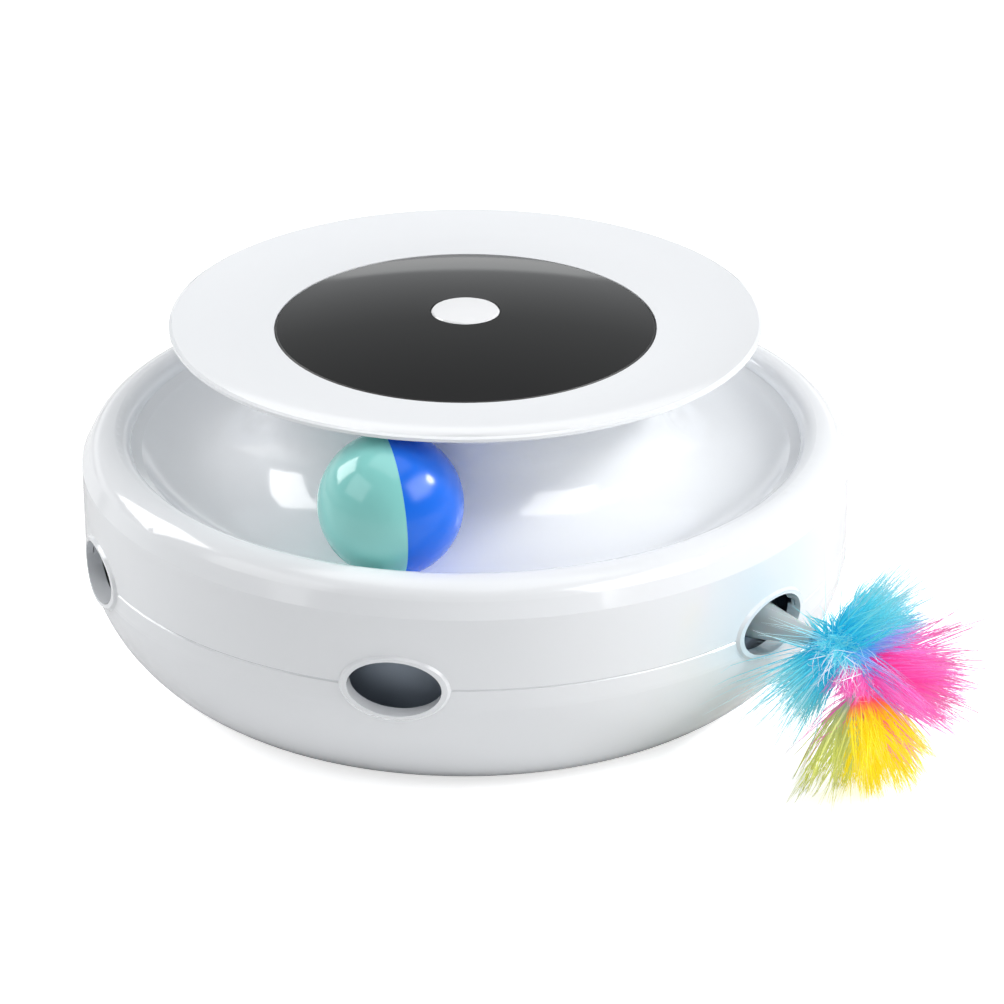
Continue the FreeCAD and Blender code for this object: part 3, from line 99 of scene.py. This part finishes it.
# Studio
floor_half = 3.0
floor_tones = [(0.3, (0.83, 0.83, 0.83)), (0.7, (0.86, 0.86, 0.86))]
paper_scale = 3
floor_glow = 0.68                         # of the near floor, for the camera alone
floor_fade = (0.35, 0.9)                  # where that glow rises to white, from the turntable's axis
sky_tones = [(0.0, (1.0, 1.0, 1.0)), (0.15, (0.97, 0.99, 1.0)), (0.17, (0.50, 0.51, 0.52)),
             (0.42, (0.28, 0.285, 0.29)), (0.65, (0.19, 0.19, 0.195)), (1.0, (0.16, 0.165, 0.17))]
room_share = 0.35                         # how bright the room's side of the sky is, beside the backdrop's
room_fade = (-0.3, 0.4)                   # where one gives way to the other, along the camera's view
lamp_aim = Vector((0, 0, 0.06))

scene = bpy.context.scene
scene.view_settings.view_transform = "Standard"


def camera_axes():
    """The camera's right, up and forward directions before its small turn."""
    flat = Vector((math.cos(camera_heading), math.sin(camera_heading), 0.0))
    toward = flat * math.cos(camera_elevation) + Vector((0, 0, math.sin(camera_elevation)))
    right = toward.cross(Vector((0, 0, -1))).normalized()
    return right, toward.cross(right).normalized(), -toward


def from_picture(right_share, up_share, toward_share):
    """A direction given as the camera sees it: to its right, up, and toward it."""
    right, up, forward = camera_axes()
    return (right * right_share + up * up_share - forward * toward_share).normalized()


def add_camera():
    right, up, forward = camera_axes()
    place = camera_target - forward * camera_distance
    forward = Matrix.Rotation(-camera_turn, 3, up) @ forward
    right = forward.cross(Vector((0, 0, 1))).normalized()
    forward = Matrix.Rotation(-camera_dip, 3, right) @ forward
    up = right.cross(forward).normalized()
    data = bpy.data.cameras.new("camera")
    data.sensor_width = sensor_width
    data.lens = focal_pixels / picture_pixels * sensor_width
    data.clip_start = camera_near
    camera = bpy.data.objects.new("camera", data)
    scene.collection.objects.link(camera)
    turn = Matrix((right, up, -forward)).transposed()
    camera.matrix_world = Matrix.Translation(place) @ turn.to_4x4()
    scene.camera = camera


# Shader parts
def new_material(name):
    material = bpy.data.materials.new(name)
    material.use_nodes = True
    return material, material.node_tree, shader_of(material)


def shader_of(material):
    return material.node_tree.nodes["Principled BSDF"]


def noise(tree, scale, detail=2.0, stretch=(1, 1, 1)):
    """A noise texture in the object's own metres."""
    place = tree.nodes.new("ShaderNodeTexCoord")
    mapping = tree.nodes.new("ShaderNodeMapping")
    mapping.inputs["Scale"].default_value = stretch
    texture = tree.nodes.new("ShaderNodeTexNoise")
    texture.inputs["Scale"].default_value = scale
    texture.inputs["Detail"].default_value = detail
    tree.links.new(place.outputs["Object"], mapping.inputs["Vector"])
    tree.links.new(mapping.outputs["Vector"], texture.inputs["Vector"])
    return texture.outputs["Fac"]


def ramp(tree, value, stops):
    """A colour ramp; stops are pairs of place and colour."""
    node = tree.nodes.new("ShaderNodeValToRGB")
    elements = node.color_ramp.elements
    while len(elements) < len(stops):
        elements.new(0.5)
    for element, (place, colour) in zip(elements, stops):
        element.position = place
        element.color = (*colour, 1.0)
    tree.links.new(value, node.inputs["Fac"])
    return node.outputs["Color"]


def mapped(tree, value, old, new):
    """Maps a value from one range onto another."""
    node = tree.nodes.new("ShaderNodeMapRange")
    for name, limit in zip(("From Min", "From Max", "To Min", "To Max"), (*old, *new)):
        node.inputs[name].default_value = limit
    tree.links.new(value, node.inputs["Value"])
    return node.outputs["Result"]


def bump(tree, shader, value, height):
    node = tree.nodes.new("ShaderNodeBump")
    node.inputs["Distance"].default_value = height
    tree.links.new(value, node.inputs["Height"])
    tree.links.new(node.outputs["Normal"], shader.inputs["Normal"])


def reach_from_axis(tree):
    """How far a point is from the turntable's axis, seen from above."""
    place = tree.nodes.new("ShaderNodeTexCoord")
    flat = tree.nodes.new("ShaderNodeVectorMath")
    flat.operation = "MULTIPLY"
    flat.inputs[1].default_value = (1, 1, 0)
    reach = tree.nodes.new("ShaderNodeVectorMath")
    reach.operation = "LENGTH"
    tree.links.new(place.outputs["Object"], flat.inputs[0])
    tree.links.new(flat.outputs["Vector"], reach.inputs[0])
    return reach.outputs["Value"]


# Finishes
def moulded(name, colour, rough=(0.10, 0.13), tint=0.985, coat=0.25, grain=0.000003):
    """A moulded plastic: slow cloudy colour, roughness that varies a little, and a fine grain."""
    material, tree, shader = new_material(name)
    darker = tuple(c * tint for c in colour)
    colours = ramp(tree, noise(tree, cloud_scale), list(zip(cloud_range, (darker, colour))))
    tree.links.new(colours, shader.inputs["Base Color"])
    roughness = mapped(tree, noise(tree, rough_scale), noise_range, rough)
    tree.links.new(roughness, shader.inputs["Roughness"])
    bump(tree, shader, noise(tree, grain_scale, 3), grain)
    shader.inputs["Coat Weight"].default_value = coat
    shader.inputs["Coat Roughness"].default_value = coat_rough
    return material


def metal(name, colour, rough=(0.25, 0.4)):
    """A metal with short streaks round it, in its colour and its roughness."""
    material, tree, shader = new_material(name)
    darker = tuple(c * metal_tint for c in colour)
    streaks = noise(tree, metal_scale, 3, metal_stretch)
    tones = ramp(tree, streaks, list(zip(noise_range, (darker, colour))))
    tree.links.new(tones, shader.inputs["Base Color"])
    streaks = noise(tree, metal_rough_scale, 4, metal_stretch)
    tree.links.new(mapped(tree, streaks, noise_range, rough), shader.inputs["Roughness"])
    shader.inputs["Metallic"].default_value = 1.0
    return material


def glossy_disc():
    """The dark disc's plastic, dull at its narrow bevel, which would mirror the lamps."""
    material = moulded("dark_disc", (0.0115, 0.012, 0.012), rough=(0.05, 0.07), tint=0.9, coat=0.0)
    tree = material.node_tree
    shader = shader_of(material)
    shader.inputs["IOR"].default_value = disc_index
    roughness = shader.inputs["Roughness"]
    edge = tree.nodes.new("ShaderNodeMath")
    edge.operation = "GREATER_THAN"
    edge.inputs[1].default_value = nodes["disc_cover"].dimensions.x / 2 - disc_bevel
    tree.links.new(reach_from_axis(tree), edge.inputs[0])
    blend = tree.nodes.new("ShaderNodeMix")
    blend.inputs["B"].default_value = bevel_rough
    tree.links.new(edge.outputs["Value"], blend.inputs["Factor"])
    tree.links.new(roughness.links[0].from_socket, blend.inputs["A"])
    tree.links.new(blend.outputs["Result"], roughness)
    return material


def milky_plastic():
    """The wand's cloudy plastic, which lets a little light through."""
    material = moulded("milky_plastic", (0.72, 0.79, 0.81), rough=(0.18, 0.26), coat=0.3)
    shader = shader_of(material)
    shader.inputs["Transmission Weight"].default_value = 0.35
    shader.inputs["Subsurface Weight"].default_value = 0.2
    shader.inputs["Subsurface Scale"].default_value = 0.004
    return material


def dress(material, *names):
    for name in names:
        node = nodes[name]
        node.data.materials.clear()
        node.data.materials.append(material)


def dress_casing():
    white = moulded("white_moulding", (0.905, 0.925, 0.950))
    button = moulded("white_button", (0.955, 0.965, 0.98), coat=0.5)
    rubber = moulded("foot_rubber", (0.06, 0.06, 0.065), rough=(0.75, 0.9), coat=0.0, grain=0.0001)
    dress(white, "base_shell", "upper_shell", "top_plate", "battery_door")
    dress(button, "power_button")
    dress(glossy_disc(), "disc_cover")
    dress(rubber, "foot_ring")


def dress_mechanism():
    guide = moulded("white_guide", (0.80, 0.81, 0.82), rough=(0.4, 0.5), coat=0.0)
    grey = moulded("grey_plastic", (0.36, 0.42, 0.50), rough=(0.42, 0.55), tint=0.94, coat=0.0,
                   grain=0.00001)
    acetal = moulded("gear_plastic", (0.78, 0.77, 0.72), rough=(0.35, 0.45), coat=0.0)
    quill = moulded("quill_fibre", (0.75, 0.80, 0.84), rough=(0.4, 0.5), coat=0.1)
    steel = metal("plated_steel", (0.62, 0.63, 0.65))
    can = metal("motor_can", (0.55, 0.56, 0.58), rough=(0.3, 0.45))
    dress(guide, "wand_guide")
    dress(grey, "turntable_drum", "index_motor_clamp", "drive_bracket")
    dress(acetal, "ring_gear", "index_pinion", "drive_gear", "motor_pinion")
    dress(milky_plastic(), "wand_carriage", "wand_socket", "feather_sleeve")
    dress(quill, "feather_quill")
    dress(steel, "plate_screws", "board_screws", "bracket_screws", "clamp_screws", "pivot_washer",
          "pivot_screw", "gear_shaft", "motor_shaft", "index_shaft", "battery_springs", "battery_contacts")
    dress(can, "wand_motor", "index_motor")
    dress(metal("brass", (0.72, 0.50, 0.20)), "pivot_bush", "ball_bell")


def dress_electrics():
    mask = moulded("board_mask", (0.01, 0.10, 0.04), rough=(0.3, 0.4), tint=0.7)
    black = moulded("component_black", (0.02, 0.02, 0.02), rough=(0.45, 0.6), coat=0.0)
    silicone = moulded("silicone", (0.12, 0.12, 0.125), rough=(0.7, 0.8), coat=0.0)
    wrap = moulded("cell_wrap", (0.03, 0.035, 0.045), rough=(0.25, 0.35), tint=0.7)
    dress(mask, "control_board")
    dress(black, "board_components", "tact_switch")
    dress(silicone, "switch_dome")
    dress(wrap, "battery_cells")


def dress_ball():
    mint = moulded("ball_mint", (0.285, 0.720, 0.680), rough=(0.11, 0.14), grain=0.000002)
    blue = moulded("ball_blue", (0.006, 0.165, 0.880), rough=(0.20, 0.23), tint=0.9, coat=0.04,
                   grain=0.000002)
    dress(mint, "ball_shell_mint")
    dress(blue, "ball_shell_blue")


# Plume
def down_material(name, stops):
    """Feather down whose colour runs from root to tip, and whose strands differ a little in shade."""
    material, tree, shader = new_material(name)
    strand = tree.nodes.new("ShaderNodeUVMap")
    parts = tree.nodes.new("ShaderNodeSeparateXYZ")
    tree.links.new(strand.outputs["UV"], parts.inputs["Vector"])
    mix = tree.nodes.new("ShaderNodeMix")
    mix.data_type = "RGBA"
    mix.blend_type = "MULTIPLY"
    mix.inputs["Factor"].default_value = 0.5
    tree.links.new(ramp(tree, parts.outputs["Y"], stops), mix.inputs["A"])
    tree.links.new(ramp(tree, parts.outputs["X"], strand_shades), mix.inputs["B"])
    tree.links.new(mix.outputs["Result"], shader.inputs["Base Color"])
    # Painted glow: the down emits its own colour, standing in for light passed on between strands and
    # lightening their shade.
    tree.links.new(mix.outputs["Result"], shader.inputs["Emission Color"])
    shader.inputs["Emission Strength"].default_value = painted_down_glow
    shader.inputs["Roughness"].default_value = 0.7
    shader.inputs["Specular IOR Level"].default_value = 0.2
    shader.inputs["Sheen Weight"].default_value = 0.15
    return material


def keep_clear(point):
    """Moves a point out of the casing and off the floor, where the down would bend."""
    point = point.copy()
    plan = math.hypot(point.x, point.y)
    if plan < casing_radius:
        point.x *= casing_radius / plan
        point.y *= casing_radius / plan
    point.z = max(point.z, floor_gap)
    return point


class Down:
    """The strands of one colour, sorted into sectors about the wand's axis."""

    def __init__(self, name, seed):
        self.name = name
        self.random = random.Random(seed)
        self.sectors = {}

    def direction(self):
        """A random direction."""
        while True:
            way = Vector([self.random.uniform(-1, 1) for _ in range(3)])
            if shortest_draw < way.length < 1:
                return way.normalized()

    def strand(self, path, width):
        """A ribbon along a path, narrowing to its tip, added to the sector that its tip lies in."""
        tip = path[-1] - blue_root
        angle = math.atan2(tip.y, tip.z) % (2 * math.pi)
        sector = int(angle / (2 * math.pi) * sector_count + 0.5) % sector_count
        verts, faces, uvs = self.sectors.setdefault(sector, ([], [], []))
        side = (path[1] - path[0]).cross(self.direction()).normalized()
        shade = self.random.random()
        first = len(verts)
        last = len(path) - 1
        for i, point in enumerate(path):
            share = i / last
            half = width / 2 * (1 - strand_taper * share ** taper_power)
            verts += [point - side * half, point + side * half]
            uvs.append((shade, share))
        for i in range(last):
            a = first + 2 * i
            faces.append((a, a + 1, a + 3, a + 2))

    def clump(self, root, way, length, count, belly, tip, width=0.00062, sag=0.06, wild=0.12, curl=0.035):
        """Strands that leave a root together, swell apart and draw together again at their tip."""
        for _ in range(count):
            off = self.direction().cross(way)
            own = length * self.random.uniform(*length_spread)
            stray = self.random.random() < wild
            bend = self.direction() * own * curl * self.random.uniform(*bend_spread)
            turns = self.random.uniform(*bend_spread)
            phase = self.random.uniform(0, math.pi)
            end = belly * stray_spread if stray else tip
            path = []
            for i in range(strand_steps + 1):
                t = i / strand_steps
                swell = neck + (belly - neck) * math.sin(min(t * swell_rate, 1.0) * math.pi / 2)
                gather = max(t - gather_start, 0) / (1 - gather_start)
                wide = swell + (end - swell) * gather ** gather_power
                point = root + way * own * t + off * wide
                point = point + bend * math.sin(t * turns * math.pi + phase) * t
                point.z -= sag * own * t * t
                path.append(keep_clear(point))
            self.strand(path, width * self.random.uniform(*width_spread))

    def fan(self, root, count, angles, toward, length, strands, belly=0.0042, tip=0.0009, **more):
        """Clumps whose directions the camera sees between two angles, counted up from its right."""
        low, high = angles
        for i in range(count):
            step = i + self.random.uniform(*clump_place_spread)
            angle = math.radians(low + (high - low) * step / count)
            depth = self.random.uniform(*toward)
            flat = math.sqrt(max(1 - depth * depth, 0.0))
            way = from_picture(flat * math.cos(angle), flat * math.sin(angle), depth)
            own = length * self.random.uniform(*clump_length_spread)
            self.clump(root, way, own, strands, belly, tip, **more)

    def build(self, material, node):
        """One piece for each sector, carried by the wand, in place of the plume's own node, which is
        hidden.
        """
        for sector, (verts, faces, uvs) in sorted(self.sectors.items()):
            mesh = bpy.data.meshes.new(f"{self.name}_{sector:02d}")
            mesh.from_pydata(verts, [], faces)
            layer = mesh.uv_layers.new(name="UVMap")
            for loop in mesh.loops:
                layer.data[loop.index].uv = uvs[loop.vertex_index // 2]
            mesh.materials.append(material)
            piece = bpy.data.objects.new(mesh.name, mesh)
            scene.collection.objects.link(piece)
            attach(piece, "wand")
            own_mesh(piece)
            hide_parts(node)


def add_blue_head():
    down = Down("down_blue", 11)
    down.fan(blue_root, 22, (18, 60), (-0.6, 0.70), 0.0295, 40, belly=0.0046, tip=0.0013)
    down.fan(blue_root, 12, (0, 360), (0.72, 0.95), 0.015, 34, belly=0.0040, tip=0.0020)
    down.fan(blue_root, 12, (0, 360), (-0.9, -0.45), 0.024, 34)
    colours = [(0.0, (0.004, 0.44, 0.72)), (0.35, (0.03, 0.58, 0.78)), (0.7, (0.14, 0.69, 0.80)),
               (1.0, (0.28, 0.71, 0.78))]
    down.build(down_material("blue_down", colours), "plume_blue")


def add_teal_tail():
    down = Down("down_teal", 13)
    down.fan(blue_root, 16, (202, 252), (-0.5, 0.75), 0.026, 34, belly=0.0042, tip=0.0014)
    down.fan(blue_root, 14, (194, 254), (-0.3, 0.6), 0.038, 8, tip=0.0030, wild=0.6, width=0.00042)
    colours = [(0.0, (0.004, 0.42, 0.70)), (0.40, (0.03, 0.55, 0.74)), (0.75, (0.18, 0.64, 0.72)),
               (1.0, (0.42, 0.70, 0.72))]
    down.build(down_material("teal_down", colours), "plume_blue")


def add_pale_wisps():
    down = Down("down_pale", 29)
    down.fan(blue_root, 12, (28, 58), (-0.4, 0.5), 0.044, 10, tip=0.0026, wild=0.5, width=0.00040)
    down.fan(blue_root, 9, (198, 238), (-0.2, 0.5), 0.046, 5, tip=0.0040, wild=0.7, width=0.00034)
    down.fan(blue_root, 4, (70, 92), (-0.2, 0.3), 0.033, 2, tip=0.0030, wild=0.7, width=0.00038, curl=0.10)
    down.fan(blue_root, 7, (150, 192), (0.1, 0.6), 0.033, 4, tip=0.004, wild=0.6, width=0.00034)
    colours = [(0.0, (0.20, 0.66, 0.86)), (0.4, (0.34, 0.70, 0.80)), (1.0, (0.56, 0.72, 0.74))]
    down.build(down_material("pale_down", colours), "plume_blue")


def add_white_curls():
    down = Down("down_curls", 43)
    down.fan(blue_root, 16, (185, 345), (0.60, 0.92), 0.021, 3, tip=0.002, width=0.00055, curl=0.24)
    down.fan(pink_root, 8, (150, 300), (0.70, 0.92), 0.016, 3, tip=0.002, width=0.00055, curl=0.30)
    colours = [(0.0, (0.50, 0.80, 0.92)), (0.4, (0.80, 0.88, 0.94)), (1.0, (0.88, 0.86, 0.94))]
    down.build(down_material("white_down", colours), "plume_blue")


def add_lilac_edge():
    down = Down("down_lilac", 5)
    down.fan(blue_root, 16, (-40, 24), (0.10, 0.72), 0.032, 22, belly=0.0034, tip=0.0014)
    down.fan(blue_root, 9, (-48, -30), (0.30, 0.65), 0.042, 7, belly=0.0030, tip=0.0014, width=0.00045)
    colours = [(0.0, (0.01, 0.50, 0.88)), (0.40, (0.20, 0.50, 0.86)), (0.7, (0.50, 0.44, 0.82)),
               (1.0, (0.76, 0.44, 0.74))]
    down.build(down_material("lilac_down", colours), "plume_blue")


def add_pink_head():
    down = Down("down_pink", 23)
    down.fan(pink_root, 20, (-38, 14), (-0.6, 0.75), 0.036, 40, tip=0.0012)
    down.fan(pink_root, 10, (-150, -40), (0.2, 0.85), 0.014, 34, tip=0.0016)
    down.fan(yellow_root, 6, (-60, -36), (0.0, 0.6), 0.031, 7, tip=0.0016, width=0.0005)
    colours = [(0.0, (0.95, 0.05, 0.36)), (0.45, (0.96, 0.13, 0.54)), (0.8, (0.96, 0.22, 0.64)),
               (1.0, (0.88, 0.30, 0.60))]
    down.build(down_material("pink_down", colours), "plume_pink")


def add_mauve_tips():
    down = Down("down_mauve", 31)
    down.fan(pink_root, 12, (-26, 34), (-0.4, 0.5), 0.0425, 16, belly=0.0030, tip=0.0006)
    down.fan(yellow_root, 3, (-150, -128), (-0.1, 0.4), 0.032, 4, tip=0.0010, width=0.0004)
    colours = [(0.0, (0.94, 0.12, 0.50)), (0.5, (0.94, 0.20, 0.58)), (0.76, (0.78, 0.26, 0.52)),
               (1.0, (0.62, 0.25, 0.40))]
    down.build(down_material("mauve_down", colours), "plume_pink")


def add_yellow_head():
    down = Down("down_yellow", 37)
    down.fan(yellow_root, 28, (-104, -34), (-0.5, 0.80), 0.033, 42, tip=0.0012)
    colours = [(0.0, (0.96, 0.07, 0.36)), (0.20, (0.96, 0.16, 0.30)), (0.34, (0.96, 0.46, 0.10)),
               (0.48, (0.96, 0.76, 0.02)), (0.88, (0.95, 0.82, 0.04)), (1.0, (0.86, 0.72, 0.20))]
    down.build(down_material("yellow_down", colours), "plume_yellow")


def add_olive_tuft():
    down = Down("down_olive", 41)
    down.fan(yellow_root, 9, (-130, -101), (-0.4, 0.6), 0.037, 22, tip=0.0012)
    colours = [(0.0, (0.30, 0.58, 0.60)), (0.35, (0.58, 0.64, 0.28)), (0.8, (0.68, 0.72, 0.17)),
               (1.0, (0.58, 0.58, 0.30))]
    down.build(down_material("olive_down", colours), "plume_yellow")


def add_plume():
    add_blue_head()
    add_teal_tail()
    add_pale_wisps()
    add_white_curls()
    add_lilac_edge()
    add_pink_head()
    add_mauve_tips()
    add_yellow_head()
    add_olive_tuft()


# Studio
def floor_paper():
    """White paper, which the camera sees a little brighter than it is, and white far from the object."""
    material, tree, shader = new_material("floor_paper")
    tree.links.new(ramp(tree, noise(tree, paper_scale), floor_tones), shader.inputs["Base Color"])
    shader.inputs["Roughness"].default_value = 0.9
    shader.inputs["Specular IOR Level"].default_value = 0.1
    shader.inputs["Emission Color"].default_value = (1, 1, 1, 1)
    path = tree.nodes.new("ShaderNodeLightPath")
    glow = tree.nodes.new("ShaderNodeMath")
    glow.operation = "MULTIPLY"
    tree.links.new(path.outputs["Is Camera Ray"], glow.inputs[0])
    tree.links.new(mapped(tree, reach_from_axis(tree), floor_fade, (floor_glow, 1.0)), glow.inputs[1])
    tree.links.new(glow.outputs["Value"], shader.inputs["Emission Strength"])
    return material


def add_floor():
    corners = [(-floor_half, -floor_half, 0), (floor_half, -floor_half, 0),
               (floor_half, floor_half, 0), (-floor_half, floor_half, 0)]
    mesh = bpy.data.meshes.new("floor")
    mesh.from_pydata(corners, [], [(0, 1, 2, 3)])
    mesh.materials.append(floor_paper())
    floor = bpy.data.objects.new("floor", mesh)
    scene.collection.objects.link(floor)


def soft_sky(tree):
    """A sky that is brightest low down behind the object, and dim above and on the room's side."""
    place = tree.nodes.new("ShaderNodeTexCoord")
    parts = tree.nodes.new("ShaderNodeSeparateXYZ")
    tree.links.new(place.outputs["Generated"], parts.inputs["Vector"])
    ahead = tree.nodes.new("ShaderNodeVectorMath")
    ahead.operation = "DOT_PRODUCT"
    ahead.inputs[1].default_value = (-math.cos(camera_heading), -math.sin(camera_heading), 0.0)
    tree.links.new(place.outputs["Generated"], ahead.inputs[0])
    shade = tree.nodes.new("ShaderNodeVectorMath")
    shade.operation = "SCALE"
    level = mapped(tree, ahead.outputs["Value"], room_fade, (room_share, 1.0))
    tree.links.new(ramp(tree, parts.outputs["Z"], sky_tones), shade.inputs[0])
    tree.links.new(level, shade.inputs["Scale"])
    return shade.outputs["Vector"]


def add_world():
    """White for the camera, and the soft sky for light and gloss."""
    world = bpy.data.worlds.new("studio")
    scene.world = world
    world.use_nodes = True
    tree = world.node_tree
    path = tree.nodes.new("ShaderNodeLightPath")
    mix = tree.nodes.new("ShaderNodeMix")
    mix.data_type = "RGBA"
    tree.links.new(path.outputs["Is Camera Ray"], mix.inputs["Factor"])
    tree.links.new(soft_sky(tree), mix.inputs["A"])
    mix.inputs["B"].default_value = (1, 1, 1, 1)
    tree.links.new(mix.outputs["Result"], tree.nodes["Background"].inputs["Color"])


def add_lamp(name, way, distance, size, power):
    """A soft box that lies some way off and faces the object."""
    data = bpy.data.lights.new(name, "AREA")
    data.shape = "RECTANGLE"
    data.size, data.size_y = size
    data.energy = power
    lamp = bpy.data.objects.new(name, data)
    lamp.location = lamp_aim + way * distance
    lamp.rotation_euler = (lamp_aim - lamp.location).to_track_quat("-Z", "Y").to_euler()
    scene.collection.objects.link(lamp)


def add_lamps():
    add_lamp("key", from_picture(0.81, 0.50, 0.28), 1.25, (0.20, 0.20), 5.7)
    add_lamp("right_box", from_picture(0.668, 0.381, 0.640), 1.6, (1.0, 0.8), 11.3)
    add_lamp("overhead", Vector((0, 0, 1)), 1.7, (1.5, 1.2), 7.2)
    add_lamp("left_box", from_picture(-0.79, 0.61, -0.07), 1.3, (0.54, 0.64), 6.2)
    add_lamp("left_fill", from_picture(-0.74, 0.36, 0.57), 1.6, (1.0, 0.8), 4.0)


add_camera()
dress_casing()
dress_mechanism()
dress_electrics()
dress_ball()
add_plume()
add_floor()
add_world()
add_lamps()
